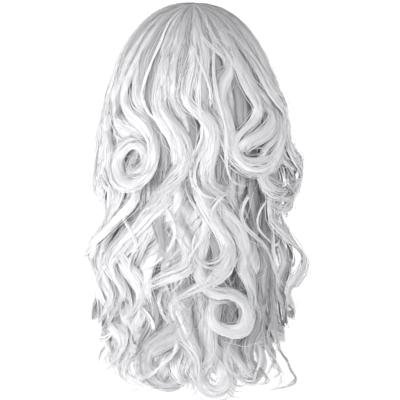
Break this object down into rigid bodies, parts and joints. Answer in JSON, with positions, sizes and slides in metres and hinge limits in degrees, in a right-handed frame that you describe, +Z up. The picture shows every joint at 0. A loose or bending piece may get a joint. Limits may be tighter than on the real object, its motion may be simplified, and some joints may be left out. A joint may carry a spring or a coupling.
{
  "type": "curly costume wig",
  "caption": "Long silver-white costume wig: a hollow cloth cap with curly hair sewn on in tiers, parted on top and falling in wavy locks round the back and sides.",
  "frame": {"origin": "the inside top of the cap, where it sits on the crown of the head", "axes": "+Z up out of the head, +Y the way the wearer faces, -Y the back of the wig, +X the wearer's right"},
  "size_m": [0.2631, 0.2516, 0.4928],
  "materials": {
    "cap_cloth": "thin stretch cap cloth",
    "hair": "satin synthetic fibre, silver white"
  },
  "bodies": {
    "root": {"cap": "cap_cloth", "crown_hair": "hair", "middle_hair": "hair", "nape_hair": "hair", "left_side_hair": "hair", "right_side_hair": "hair"}
  },
  "joints": []
}
